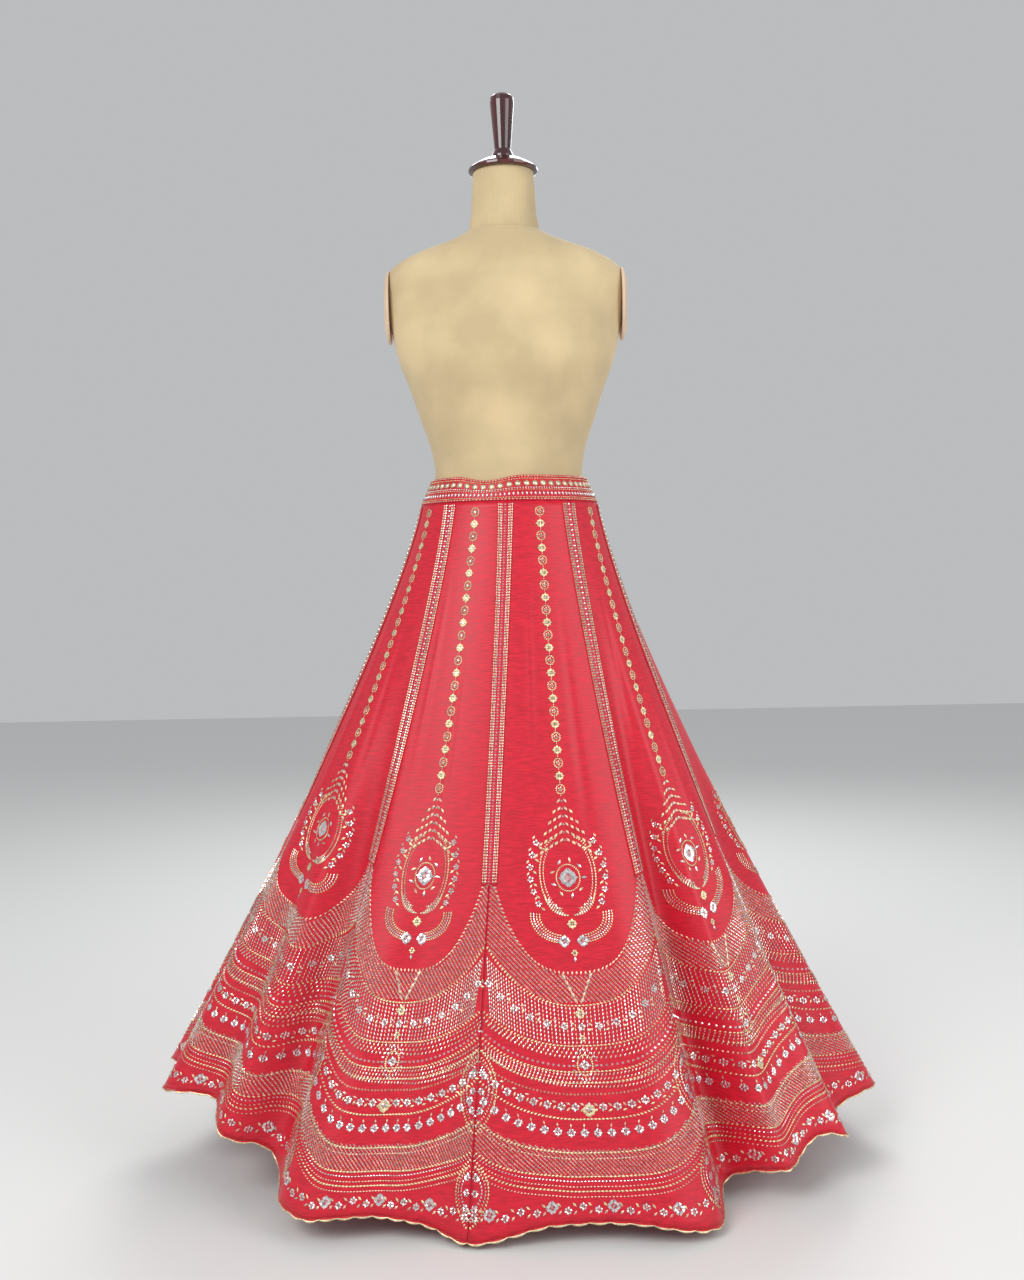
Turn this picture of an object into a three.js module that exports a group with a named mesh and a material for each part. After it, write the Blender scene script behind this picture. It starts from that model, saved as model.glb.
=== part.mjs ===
// A lehenga skirt on a dress form. Eight flared panels hang from an embroidered waistband. A band covers each
// seam and a corded piping edges the hem. The form is a canvas torso with a turned neck cap and handle, on a pole
// and a round foot.
// Millimetres, +Z up. The front faces -Y and the wearer's left is +X. The origin is on the floor under the pole.
import * as THREE from 'three';

// Skirt: heights, outlines seen from above, and cloth
const WAIST_SEAM_HEIGHT = 1055;
const WAIST_HALF_WIDTH = 143;
const WAIST_HALF_DEPTH = 114;
const HEM_HALF_WIDTH = 588;
const HEM_FRONT_DEPTH = 360;
const HEM_BACK_DEPTH = 260;
const FLARE_POWER = 1.2;
const CLOTH = 2;
const PANEL_LENGTH = 1050;
const SEAM_GAP = 0.36;
const TIP_DROP = 0.022;
const TIP_HALF_WIDTH = 0.36;
const TIP_START_POWER = 8;

// Each seam's direction from straight ahead, in degrees towards the wearer's left, at the waist and at the hem
const SEAMS = [
  { name: 'front', waist: -2.5, hem: -7.5 },
  { name: 'front_left', waist: 40, hem: 28.5 },
  { name: 'left', waist: 84, hem: 60 },
  { name: 'back_left', waist: 131, hem: 128 },
  { name: 'back', waist: 178, hem: 173 },
  { name: 'back_right', waist: 225, hem: 216 },
  { name: 'right', waist: 278, hem: 284 },
  { name: 'front_right', waist: 320, hem: 323 },
  { name: 'front again', waist: 357.5, hem: 352.5 },
];
const PANEL_NAMES = [
  'front_left', 'side_left', 'back_side_left', 'back_left',
  'back_right', 'back_side_right', 'side_right', 'front_right',
];

// Height of the hem above the floor. at: seams round from the front one
const HEM_HEIGHTS = [
  { at: 0, height: 34 },
  { at: 0.7, height: 35 },
  { at: 1.15, height: 42 },
  { at: 1.45, height: 64 },
  { at: 1.8, height: 101 },
  { at: 2.3, height: 94 },
  { at: 3, height: 68 },
  { at: 4, height: 42 },
  { at: 5, height: 70 },
  { at: 6, height: 164 },
  { at: 6.5, height: 142 },
  { at: 6.75, height: 104 },
  { at: 7, height: 76 },
  { at: 7.3, height: 45 },
  { at: 8, height: 34 },
];

// Folds that run up from the hem. at: seams round from the front one. half: half width in panels.
// depth: how far the cloth turns in at the hem, or out where it is negative. start: share of the fall where it begins.
const FOLDS = [
  { at: 1.19, half: 0.25, depth: 80, start: 0.12 },
  { at: 0.8, half: 0.34, depth: -28, start: 0.3 },
  { at: 1.62, half: 0.26, depth: 20, start: 0.55 },
  { at: 2.13, half: 0.3, depth: 66, start: 0.25 },
  { at: 2.62, half: 0.26, depth: 26, start: 0.45 },
  { at: 3.08, half: 0.24, depth: 58, start: 0.3 },
  { at: 3.58, half: 0.24, depth: 34, start: 0.4 },
  { at: 4.06, half: 0.22, depth: 50, start: 0.22 },
  { at: 4.52, half: 0.26, depth: 28, start: 0.5 },
  { at: 4.94, half: 0.24, depth: 56, start: 0.3 },
  { at: 5.46, half: 0.22, depth: 36, start: 0.42 },
  { at: 5.92, half: 0.24, depth: 44, start: 0.35 },
  { at: 6.44, half: 0.26, depth: 44, start: 0.4 },
  { at: 6.86, half: 0.24, depth: 62, start: 0.2 },
  { at: 7.26, half: 0.34, depth: -36, start: 0.4 },
  { at: 7.84, half: 0.2, depth: 16, start: 0.6 },
];

// Waistband, seam bands and piping
const WAISTBAND_HEIGHT = 40;
const WAISTBAND_TOP_HALF_WIDTH = 125;
const WAISTBAND_TOP_HALF_DEPTH = 102;
const WAISTBAND_CLOTH = 3;
const WAISTBAND_DIP = 8;
const WAISTBAND_DIP_AT = -16;
const WAISTBAND_DIP_HALF_WIDTH = 26;
const BAND_WIDTH = 24;
const BAND_CLOTH = 1.5;
const BAND_END = 0.56;
const PIPING = 4;
const GAP = 0.36;

// Grid counts
const BAND_ROWS = 8;
const PANEL_ROWS = 16;
const PANEL_COLUMNS = 12;
const RING_COLUMNS = 64;

// Dress form: sections of the torso from the underside to the neck
const TORSO_SECTIONS = [
  { height: 800, width: 156, front: 102, back: 108 },
  { height: 812, width: 162, front: 107, back: 113 },
  { height: 880, width: 166, front: 111, back: 117 },
  { height: 940, width: 163, front: 112, back: 115 },
  { height: 1000, width: 149, front: 109, back: 110 },
  { height: 1055, width: 139.5, front: 110.5, back: 110.5 },
  { height: 1096, width: 120.5, front: 95.2, back: 97 },
  { height: 1112, width: 120, front: 95, back: 95 },
  { height: 1150, width: 126, front: 99, back: 97 },
  { height: 1195, width: 142, front: 108, back: 101 },
  { height: 1240, width: 156, front: 116, back: 104 },
  { height: 1285, width: 174, front: 121, back: 107 },
  { height: 1330, width: 184, front: 117, back: 108 },
  { height: 1370, width: 193, front: 106, back: 105 },
  { height: 1405, width: 197, front: 92, back: 97 },
  { height: 1425, width: 193, front: 82, back: 90 },
  { height: 1440, width: 181, front: 75, back: 84 },
  { height: 1452, width: 162, front: 70, back: 79 },
  { height: 1463, width: 138, front: 66, back: 75 },
  { height: 1473, width: 106, front: 63, back: 71 },
  { height: 1482, width: 82, front: 60, back: 66 },
  { height: 1492, width: 61, front: 57, back: 60 },
];
const TORSO_COLUMNS = 40;
const BUST = { height: 1280, out: 19, apart: 76, reachX: 60, reachZ: 66 };
const ARM_FACE = 186;
const ARM_PLATE = { height: 1376, halfDepth: 46, halfHeight: 58, thick: 9, gap: 0.6 };
const NECK = { bottom: 1492.4, top: 1588, bottomRadius: 58, topRadius: 49, depthShare: 0.96 };
const CAP = { bottom: 1588.4, radius: 56, rim: 8, domeTop: 1612 };
const HANDLE = { bottom: 1612.4, top: 1713, beadRadius: 18, neckRadius: 13, topRadius: 19.5 };
const POLE = { bottom: 26.4, top: 799.6, radius: 16 };
const FOOT = { radius: 175, edge: 12, height: 26, hubRadius: 34 };
const LATHE_SIDES = 40;

const COLOURS = {
  silk: { color: 0xb8061a, roughness: 0.5, metalness: 0 },
  zari: { color: 0xc79a78, roughness: 0.35, metalness: 0.6 },
  canvas: { color: 0xc9b183, roughness: 0.85, metalness: 0 },
  armCanvas: { color: 0xd6bd92, roughness: 0.85, metalness: 0 },
  wood: { color: 0x2c0d10, roughness: 0.2, metalness: 0 },
  iron: { color: 0x2a2a2c, roughness: 0.45, metalness: 0.7 },
};

const part = new THREE.Group();

const radians = (degrees) => (degrees * Math.PI) / 180;
const mix = (from, to, share) => from + (to - from) * share;
const clamp01 = (value) => Math.min(1, Math.max(0, value));
const smooth = (value) => clamp01(value) ** 2 * (3 - 2 * clamp01(value));
const bump = (value) => (Math.abs(value) < 1 ? 0.5 + 0.5 * Math.cos(Math.PI * value) : 0);
const roundTo = (value, period) => value - period * Math.round(value / period);

function add(name, geometry, look) {
  const mesh = new THREE.Mesh(geometry, new THREE.MeshStandardMaterial(COLOURS[look]));
  mesh.name = name;
  part.add(mesh);
  return mesh;
}

// The hem's height at a place round the skirt, eased from row to row
function hemHeight(round) {
  const place = round - 8 * Math.floor(round / 8);
  const next = HEM_HEIGHTS.findIndex((row) => row.at > place);
  const [from, to] = [HEM_HEIGHTS[next - 1], HEM_HEIGHTS[next]];
  return mix(from.height, to.height, smooth((place - from.at) / (to.at - from.at)));
}

// The direction of a place round the skirt, counted in seams, at the waist or the hem
function direction(round, end) {
  const turns = Math.floor(round / 8);
  const place = round - 8 * turns;
  const panel = Math.min(7, Math.floor(place));
  const degrees = mix(SEAMS[panel][end], SEAMS[panel + 1][end], place - panel);
  return radians(degrees + 360 * turns);
}

// How far the folds turn the cloth in at a place round the skirt and a share of the fall
function foldDepth(round, fall) {
  return FOLDS.reduce((sum, fold) => {
    const across = roundTo(round - fold.at, 8) / fold.half;
    return sum + fold.depth * bump(across) * smooth((fall - fold.start) / (1 - fold.start));
  }, 0);
}

// The skirt's outer face. round: seams round from the front one. fall: 0 at the waist seam, 1 at the hem
function skirtPoint(round, fall) {
  const waist = direction(round, 'waist');
  const hem = direction(round, 'hem');
  const spread = fall ** FLARE_POWER;
  const hemDepth = Math.cos(hem) > 0 ? HEM_FRONT_DEPTH : HEM_BACK_DEPTH;
  const halfWidth = mix(WAIST_HALF_WIDTH, HEM_HALF_WIDTH, spread);
  const halfDepth = mix(WAIST_HALF_DEPTH, hemDepth, spread);
  const facing = mix(waist, hem, Math.min(1, fall * 3));
  const outward = new THREE.Vector2(Math.sin(facing) * halfDepth, -Math.cos(facing) * halfWidth).normalize();
  const turnedIn = foldDepth(round, fall);
  const x = mix(WAIST_HALF_WIDTH * Math.sin(waist), HEM_HALF_WIDTH * Math.sin(hem), spread);
  const y = -mix(WAIST_HALF_DEPTH * Math.cos(waist), hemDepth * Math.cos(hem), spread);
  const z = mix(WAIST_SEAM_HEIGHT, hemHeight(round), fall);
  return new THREE.Vector3(x - outward.x * turnedIn, y - outward.y * turnedIn, z);
}

function skirtNormal(round, fall) {
  const step = 0.004;
  const along = skirtPoint(round + step, fall).sub(skirtPoint(round - step, fall));
  const down = skirtPoint(round, fall + step).sub(skirtPoint(round, Math.max(0, fall - step)));
  return down.cross(along).normalize();
}

// A point on the skirt, moved out from its outer face
function onSkirt(round, fall, out) {
  return skirtPoint(round, fall).addScaledVector(skirtNormal(round, fall), out);
}

// The fall at a row of the grid. The hem reaches lower in a rounded tip at each seam
function rowFall(round, row) {
  const tip = TIP_DROP * bump(roundTo(round, 1) / TIP_HALF_WIDTH);
  return row + tip * row ** TIP_START_POWER;
}

// A closed wall between two grids of points, [row][column]. A wrapped grid joins its last column to its first
function wall(outer, inner, wrapped) {
  const rows = outer.length;
  const columns = outer[0].length;
  const positions = [...outer.flat(), ...inner.flat()].flatMap((point) => point.toArray());
  const at = (side, row, column) => side * rows * columns + row * columns + (column % columns);
  const index = [];
  const quad = (a, b, c, d) => index.push(a, b, c, a, c, d);
  const spans = wrapped ? columns : columns - 1;
  for (let row = 0; row < rows - 1; row++) {
    for (let column = 0; column < spans; column++) {
      quad(at(0, row, column), at(0, row + 1, column), at(0, row + 1, column + 1), at(0, row, column + 1));
      quad(at(1, row, column), at(1, row, column + 1), at(1, row + 1, column + 1), at(1, row + 1, column));
    }
  }
  for (let column = 0; column < spans; column++) {
    const last = rows - 1;
    quad(at(0, 0, column), at(0, 0, column + 1), at(1, 0, column + 1), at(1, 0, column));
    quad(at(0, last, column), at(1, last, column), at(1, last, column + 1), at(0, last, column + 1));
  }
  if (!wrapped) {
    const end = columns - 1;
    for (let row = 0; row < rows - 1; row++) {
      quad(at(0, row, 0), at(1, row, 0), at(1, row + 1, 0), at(0, row + 1, 0));
      quad(at(0, row, end), at(0, row + 1, end), at(1, row + 1, end), at(1, row, end));
    }
  }
  const geometry = new THREE.BufferGeometry();
  geometry.setAttribute('position', new THREE.Float32BufferAttribute(positions, 3));
  geometry.setIndex(index);
  return geometry;
}

function grid(rows, columns, point) {
  return Array.from({ length: rows + 1 }, (_, row) =>
    Array.from({ length: columns + 1 }, (_, column) => point(row, column)));
}

// The share of the fall at a row. Rows are shared by the panels and the bands, and one lies at the bands' end
function rowShare(row) {
  return row <= BAND_ROWS ? (BAND_END * row) / BAND_ROWS
    : mix(BAND_END, 1, (row - BAND_ROWS) / (PANEL_ROWS - BAND_ROWS));
}

// The panel's width at a fall, so that seams and bands keep the same width all the way down
function panelWidth(number, fall) {
  return skirtPoint(number, fall).distanceTo(skirtPoint(number + 1, fall));
}

// A column's place across its panel. The outer columns lie under the edges of the seam bands
function columnShare(number, fall, column) {
  const width = panelWidth(number, fall);
  const inset = SEAM_GAP / 2 / width;
  const edge = BAND_WIDTH / 2 / width;
  if (column === 0) return inset;
  if (column === PANEL_COLUMNS) return 1 - inset;
  return mix(edge, 1 - edge, (column - 1) / (PANEL_COLUMNS - 2));
}

function panelPoint(number, row, column, out) {
  const share = rowShare(row);
  const round = number + columnShare(number, share, column);
  return onSkirt(round, rowFall(round, share), out);
}

function panel(number) {
  const place = (out) => (row, column) => panelPoint(number, row, column, out);
  const outer = grid(PANEL_ROWS, PANEL_COLUMNS, place(0));
  const inner = grid(PANEL_ROWS, PANEL_COLUMNS, place(-CLOTH));
  add(`panel_${PANEL_NAMES[number]}`, wall(outer, inner, false), 'silk');
}

// A band lies over its seam, made from the points of the two panels moved out
function seamBand(number) {
  const before = (number + 7) % 8;
  const place = (out) => (row, column) => {
    if (column === 0) return panelPoint(before, row, PANEL_COLUMNS - 1, out);
    if (column === 2) return panelPoint(number, row, 1, out);
    const share = rowShare(row);
    return onSkirt(number, rowFall(number, share), out);
  };
  const outer = grid(BAND_ROWS, 2, place(GAP + BAND_CLOTH));
  const inner = grid(BAND_ROWS, 2, place(GAP));
  add(`seam_band_${SEAMS[number].name}`, wall(outer, inner, false), 'zari');
}

function waistband() {
  const middle = radians(WAISTBAND_DIP_AT);
  const point = (turn, rise, out) => {
    const dip = WAISTBAND_DIP * rise * bump(roundTo(turn - middle, 2 * Math.PI) / radians(WAISTBAND_DIP_HALF_WIDTH));
    const width = mix(WAIST_HALF_WIDTH, WAISTBAND_TOP_HALF_WIDTH, rise) + out;
    const depth = mix(WAIST_HALF_DEPTH, WAISTBAND_TOP_HALF_DEPTH, rise) + out;
    const height = WAIST_SEAM_HEIGHT + GAP + WAISTBAND_HEIGHT * rise - dip;
    return new THREE.Vector3(width * Math.sin(turn), -depth * Math.cos(turn), height);
  };
  const ring = (out) => [1, 0].map((rise) =>
    Array.from({ length: RING_COLUMNS }, (_, column) => point((2 * Math.PI * column) / RING_COLUMNS, rise, out)));
  add('waistband', wall(ring(0.4), ring(0.4 - WAISTBAND_CLOTH), true), 'zari');
}

// The piping is a cord of square section that follows the lower edge of every panel
function hemPiping() {
  const place = (out, below) => Array.from({ length: 8 * PANEL_COLUMNS }, (_, column) => {
    const number = Math.floor(column / PANEL_COLUMNS);
    const round = number + columnShare(number, 1, column % PANEL_COLUMNS);
    return onSkirt(round, rowFall(round, 1) + below / PANEL_LENGTH, out);
  });
  const outer = [place(1, GAP), place(1, GAP + PIPING)];
  const inner = [place(1 - PIPING, GAP), place(1 - PIPING, GAP + PIPING)];
  add('hem_piping', wall(outer, inner, true), 'zari');
}

// The torso's outline at a section, flat where the arm plates sit
function torsoPoint(section, turn) {
  const depth = Math.cos(turn) > 0 ? section.front : section.back;
  const x = Math.max(-ARM_FACE, Math.min(ARM_FACE, section.width * Math.sin(turn)));
  const rise = Math.exp(-(((section.height - BUST.height) / BUST.reachZ) ** 2));
  const mounds = [-BUST.apart, BUST.apart]
    .map((middle) => Math.exp(-(((x - middle) / BUST.reachX) ** 2)))
    .reduce((sum, mound) => sum + mound, 0);
  const out = Math.cos(turn) > 0 ? BUST.out * rise * mounds * Math.cos(turn) ** 0.5 : 0;
  return new THREE.Vector3(x, -depth * Math.cos(turn) - out, section.height);
}

// A closed solid through rings of points, with a flat cap on each end
function loft(rings) {
  const columns = rings[0].length;
  const centres = [rings[0], rings[rings.length - 1]].map((ring) =>
    ring.reduce((sum, point) => sum.add(point), new THREE.Vector3()).divideScalar(columns));
  const positions = [...rings.flat(), ...centres].flatMap((point) => point.toArray());
  const low = rings.length * columns;
  const index = [];
  for (let column = 0; column < columns; column++) {
    const next = (column + 1) % columns;
    for (let ring = 0; ring < rings.length - 1; ring++) {
      const [a, b] = [ring * columns + column, ring * columns + next];
      index.push(a, b, b + columns, a, b + columns, a + columns);
    }
    const top = (rings.length - 1) * columns;
    index.push(low, next, column, low + 1, top + column, top + next);
  }
  const geometry = new THREE.BufferGeometry();
  geometry.setAttribute('position', new THREE.Float32BufferAttribute(positions, 3));
  geometry.setIndex(index);
  return geometry;
}

function torso() {
  const turns = Array.from({ length: TORSO_COLUMNS }, (_, column) => (2 * Math.PI * column) / TORSO_COLUMNS);
  add('form_torso', loft(TORSO_SECTIONS.map((section) => turns.map((turn) => torsoPoint(section, turn)))), 'canvas');
}

function neck() {
  const rings = [[NECK.bottom, NECK.bottomRadius], [mix(NECK.bottom, NECK.top, 0.3), 53], [NECK.top, NECK.topRadius]];
  const turns = Array.from({ length: TORSO_COLUMNS }, (_, column) => (2 * Math.PI * column) / TORSO_COLUMNS);
  const point = (turn, height, radius) =>
    new THREE.Vector3(radius * Math.sin(turn), -radius * NECK.depthShare * Math.cos(turn), height);
  add('form_neck', loft(rings.map(([height, radius]) => turns.map((turn) => point(turn, height, radius)))), 'canvas');
}

// A turned piece from a profile of [radius, height] pairs that starts and ends on the axis
function turned(name, profile, look) {
  const points = profile.map(([radius, height]) => new THREE.Vector2(radius, height));
  const geometry = new THREE.LatheGeometry(points, LATHE_SIDES);
  geometry.rotateX(Math.PI / 2);
  return add(name, geometry, look);
}

// A shallow oval plate, flat against the torso's side and rounded on the face away from it
function armPlate(name, side) {
  const { halfDepth, halfHeight, thick, gap, height } = ARM_PLATE;
  const profile = [[0, 0], [halfDepth, 0], [halfDepth, thick * 0.4], [halfDepth * 0.85, thick * 0.8], [0, thick]];
  const plate = turned(name, profile, 'armCanvas');
  plate.geometry.scale(1, halfHeight / halfDepth, 1);
  const across = new THREE.Vector3(0, side, 0);
  const up = new THREE.Vector3(0, 0, 1);
  const out = new THREE.Vector3(side, 0, 0);
  plate.geometry.applyMatrix4(new THREE.Matrix4().makeBasis(across, up, out));
  plate.geometry.translate(side * (ARM_FACE + gap), 0, height);
}

function capAndHandle() {
  const { bottom, radius, rim, domeTop } = CAP;
  turned('form_neck_cap', [
    [0, bottom], [radius - 3, bottom], [radius, bottom + 2], [radius, bottom + rim - 3],
    [radius - 5, bottom + rim + 1], [radius * 0.6, domeTop - 5], [radius * 0.34, domeTop], [0, domeTop],
  ], 'wood');
  const { beadRadius, neckRadius, topRadius, top } = HANDLE;
  const foot = HANDLE.bottom;
  turned('form_handle', [
    [0, foot], [beadRadius, foot], [beadRadius, foot + 3], [neckRadius + 2, foot + 9], [neckRadius, foot + 13],
    [mix(neckRadius, topRadius, 0.5), foot + 50], [topRadius, top - 12], [topRadius - 1, top - 5],
    [topRadius - 6, top - 1], [0, top],
  ], 'wood');
}

function stand() {
  const { bottom, top, radius } = POLE;
  turned('stand_pole', [[0, bottom], [radius, bottom], [radius, top], [0, top]], 'iron');
  turned('stand_foot', [
    [0, 0], [FOOT.radius, 0], [FOOT.radius, FOOT.edge - 4], [FOOT.radius - 4, FOOT.edge],
    [FOOT.hubRadius + 30, FOOT.edge + 4], [FOOT.hubRadius, FOOT.height], [0, FOOT.height],
  ], 'iron');
}

for (let number = 0; number < 8; number++) {
  panel(number);
  seamBand(number);
}
waistband();
hemPiping();
torso();
neck();
armPlate('form_arm_plate_left', 1);
armPlate('form_arm_plate_right', -1);
capAndHandle();
stand();

export default part;
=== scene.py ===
"""A red silk lehenga skirt with zari embroidery on a canvas dress form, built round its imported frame."""
import math

import bpy
import numpy as np
from bpy.props import FloatProperty, FloatVectorProperty, PointerProperty
from mathutils import Matrix, Vector


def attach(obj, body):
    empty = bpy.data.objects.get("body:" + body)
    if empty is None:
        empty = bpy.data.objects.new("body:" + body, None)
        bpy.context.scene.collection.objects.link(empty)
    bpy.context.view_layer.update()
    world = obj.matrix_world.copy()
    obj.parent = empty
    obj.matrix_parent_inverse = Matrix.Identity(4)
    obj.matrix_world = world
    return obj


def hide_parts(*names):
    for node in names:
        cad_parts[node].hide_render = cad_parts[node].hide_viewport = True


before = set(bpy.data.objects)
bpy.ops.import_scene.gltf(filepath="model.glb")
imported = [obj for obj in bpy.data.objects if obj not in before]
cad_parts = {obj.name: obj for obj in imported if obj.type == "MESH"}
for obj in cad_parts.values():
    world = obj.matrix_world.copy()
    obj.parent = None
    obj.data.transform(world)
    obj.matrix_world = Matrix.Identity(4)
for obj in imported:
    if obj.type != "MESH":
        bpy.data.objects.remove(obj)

bl_info = {
    "name": "Lehenga skirt",
    "version": (1, 0, 0),
    "blender": (4, 5, 0),
    "location": "View3D > Sidebar > Lehenga",
    "description": "Builds an embroidered lehenga skirt on a dress form",
    "category": "Object",
}

BODY = "root"

# Skirt outline, in metres, the same as its solids
WAIST_SEAM_HEIGHT = 1.055
WAIST_HALF = (0.143, 0.114)
HEM_HALF_WIDTH = 0.588
HEM_FRONT_DEPTH = 0.36
HEM_BACK_DEPTH = 0.26
FLARE_POWER = 1.2
TIP_DROP = 0.022
TIP_HALF_WIDTH = 0.36
TIP_START_POWER = 8
BAND_END = 0.56
WAISTBAND_HEIGHT = 0.04
WAISTBAND_TOP_HALF = (0.125, 0.102)
WAISTBAND_DIP = 0.008
WAISTBAND_DIP_AT = math.radians(-16)
WAISTBAND_DIP_HALF_WIDTH = math.radians(26)
GAP = 0.0004

# Directions of the seams in degrees, closed by the first one again
SEAM_WAIST = np.array([-2.5, 40, 84, 131, 178, 225, 278, 320, 357.5])
SEAM_HEM = np.array([-7.5, 28.5, 60, 128, 173, 216, 284, 323, 352.5])
SEAM_NAMES = ("front", "front_left", "left", "back_left", "back", "back_right", "right", "front_right")
PANEL_NAMES = ("front_left", "side_left", "back_side_left", "back_left",
               "back_right", "back_side_right", "side_right", "front_right")

# place round the skirt in seams, hem height in metres
HEM_HEIGHTS = np.array([
    (0, 0.034), (0.7, 0.035), (1.15, 0.042), (1.45, 0.064), (1.8, 0.101), (2.3, 0.094), (3, 0.068),
    (4, 0.042), (5, 0.07), (6, 0.164), (6.5, 0.142), (6.75, 0.104), (7, 0.076), (7.3, 0.045), (8, 0.034)])

# folds: place round, half width in panels, depth turned in at the hem in metres, fall where it starts
FOLDS = (
    (1.19, 0.25, 0.080, 0.12), (0.8, 0.34, -0.028, 0.3), (1.62, 0.26, 0.020, 0.55), (2.13, 0.3, 0.066, 0.25),
    (2.62, 0.26, 0.026, 0.45), (3.08, 0.24, 0.058, 0.3), (3.58, 0.24, 0.034, 0.4), (4.06, 0.22, 0.050, 0.22),
    (4.52, 0.26, 0.028, 0.5), (4.94, 0.24, 0.056, 0.3), (5.46, 0.22, 0.036, 0.42), (5.92, 0.24, 0.044, 0.35),
    (6.44, 0.26, 0.044, 0.4), (6.86, 0.24, 0.062, 0.2), (7.26, 0.34, -0.036, 0.4), (7.84, 0.2, 0.016, 0.6))

# soft creases: place round, half width, height in metres, fall from and to
CREASES = (
    (0.3, 0.05, 0.0012, 0.05, 0.5), (0.68, 0.06, -0.0016, 0.1, 0.62), (1.32, 0.05, -0.0018, 0.08, 0.55),
    (1.7, 0.06, 0.0014, 0.2, 0.7), (2.4, 0.05, -0.0018, 0.1, 0.6), (3.3, 0.06, 0.0016, 0.1, 0.7),
    (3.75, 0.05, -0.0014, 0.15, 0.55), (4.3, 0.06, 0.0015, 0.1, 0.6), (4.75, 0.05, -0.0017, 0.05, 0.5),
    (5.25, 0.06, 0.0016, 0.2, 0.7), (5.7, 0.05, -0.0015, 0.1, 0.6), (6.25, 0.06, 0.0016, 0.1, 0.65),
    (6.65, 0.05, -0.0018, 0.1, 0.6), (7.2, 0.05, 0.0013, 0.08, 0.5), (7.55, 0.06, -0.0016, 0.12, 0.6))

# a kali as it is cut, in metres
KALI_TOP = 0.10
KALI_HEM = 0.335
LENGTH_CM = 104.0

# form torso sections in metres: height, half width, front, back
TORSO_SECTIONS = np.array([
    (0.8, 0.156, 0.102, 0.108), (0.812, 0.162, 0.107, 0.113), (0.88, 0.166, 0.111, 0.117),
    (0.94, 0.163, 0.112, 0.115), (1.0, 0.149, 0.109, 0.110), (1.055, 0.1385, 0.1095, 0.1095),
    (1.096, 0.1195, 0.0945, 0.096), (1.112, 0.119, 0.0945, 0.0945), (1.15, 0.126, 0.099, 0.097),
    (1.195, 0.142, 0.108, 0.101), (1.24, 0.156, 0.116, 0.104), (1.285, 0.174, 0.121, 0.107),
    (1.33, 0.184, 0.117, 0.108), (1.37, 0.193, 0.106, 0.105), (1.405, 0.197, 0.092, 0.097),
    (1.425, 0.193, 0.082, 0.090), (1.44, 0.181, 0.075, 0.084), (1.452, 0.162, 0.070, 0.079),
    (1.463, 0.138, 0.066, 0.075), (1.473, 0.106, 0.063, 0.071), (1.482, 0.082, 0.060, 0.066),
    (1.492, 0.061, 0.057, 0.060)])
BUST_HEIGHT = 1.28
BUST_OUT = 0.019
BUST_APART = 0.076
BUST_REACH = (0.060, 0.066)
ARM_FACE = 0.186

SILK, GOLD, CRYSTAL, CREAM, PINK = range(5)


def smooth(value):
    value = np.clip(value, 0, 1)
    return value * value * (3 - 2 * value)


def bump(value):
    return np.where(np.abs(value) < 1, 0.5 + 0.5 * np.cos(np.pi * np.clip(value, -1, 1)), 0)


def wrapped(value, period):
    return value - period * np.round(value / period)


def hem_height(place):
    place = np.mod(place, 8)
    row = np.clip(np.searchsorted(HEM_HEIGHTS[:, 0], place, side="right") - 1, 0, len(HEM_HEIGHTS) - 2)
    start, end = HEM_HEIGHTS[row], HEM_HEIGHTS[row + 1]
    share = smooth((place - start[..., 0]) / (end[..., 0] - start[..., 0]))
    return start[..., 1] + (end[..., 1] - start[..., 1]) * share


def skirt_point(place, fall):
    """The skirt's outer face at a place round it, in seams, and a share of its fall."""
    place, fall = np.broadcast_arrays(np.asarray(place, float), np.asarray(fall, float))
    local = np.mod(place, 8)
    waist = np.radians(np.interp(local, np.arange(9), SEAM_WAIST))
    hem = np.radians(np.interp(local, np.arange(9), SEAM_HEM))
    spread = np.maximum(fall, 0) ** FLARE_POWER
    hem_depth = np.where(np.cos(hem) > 0, HEM_FRONT_DEPTH, HEM_BACK_DEPTH)
    half_width = WAIST_HALF[0] + (HEM_HALF_WIDTH - WAIST_HALF[0]) * spread
    half_depth = WAIST_HALF[1] + (hem_depth - WAIST_HALF[1]) * spread
    facing = waist + (hem - waist) * np.minimum(1, fall * 3)
    outward = np.stack([np.sin(facing) * half_depth, -np.cos(facing) * half_width], -1)
    outward /= np.linalg.norm(outward, axis=-1, keepdims=True)
    inward = np.zeros(fall.shape)
    for at, half, depth, start in FOLDS:
        inward += depth * bump(wrapped(place - at, 8) / half) * smooth((fall - start) / (1 - start))
    for at, half, height, start, end in CREASES:
        along = bump((fall - (start + end) / 2) * 2 / (end - start))
        inward -= height * bump(wrapped(place - at, 8) / half) * along
    x = WAIST_HALF[0] * np.sin(waist) * (1 - spread) + HEM_HALF_WIDTH * np.sin(hem) * spread
    y = -WAIST_HALF[1] * np.cos(waist) * (1 - spread) - hem_depth * np.cos(hem) * spread
    z = WAIST_SEAM_HEIGHT + (hem_height(place) - WAIST_SEAM_HEIGHT) * fall
    return np.stack([x - outward[..., 0] * inward, y - outward[..., 1] * inward, z], -1)


def skirt_frame(place, fall):
    """Unit vectors across, down and out of the cloth."""
    step = 0.004
    across = skirt_point(place + step, fall) - skirt_point(place - step, fall)
    down = skirt_point(place, fall + step) - skirt_point(place, np.maximum(0, fall - step))
    across /= np.linalg.norm(across, axis=-1, keepdims=True)
    out = np.cross(down, across)
    out /= np.linalg.norm(out, axis=-1, keepdims=True)
    return across, np.cross(across, out) * -1, out


def on_skirt(place, fall, out):
    return skirt_point(place, fall) + skirt_frame(place, fall)[2] * out


def row_fall(place, row):
    return row + TIP_DROP * bump(wrapped(place, 1) / TIP_HALF_WIDTH) * row ** TIP_START_POWER


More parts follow.
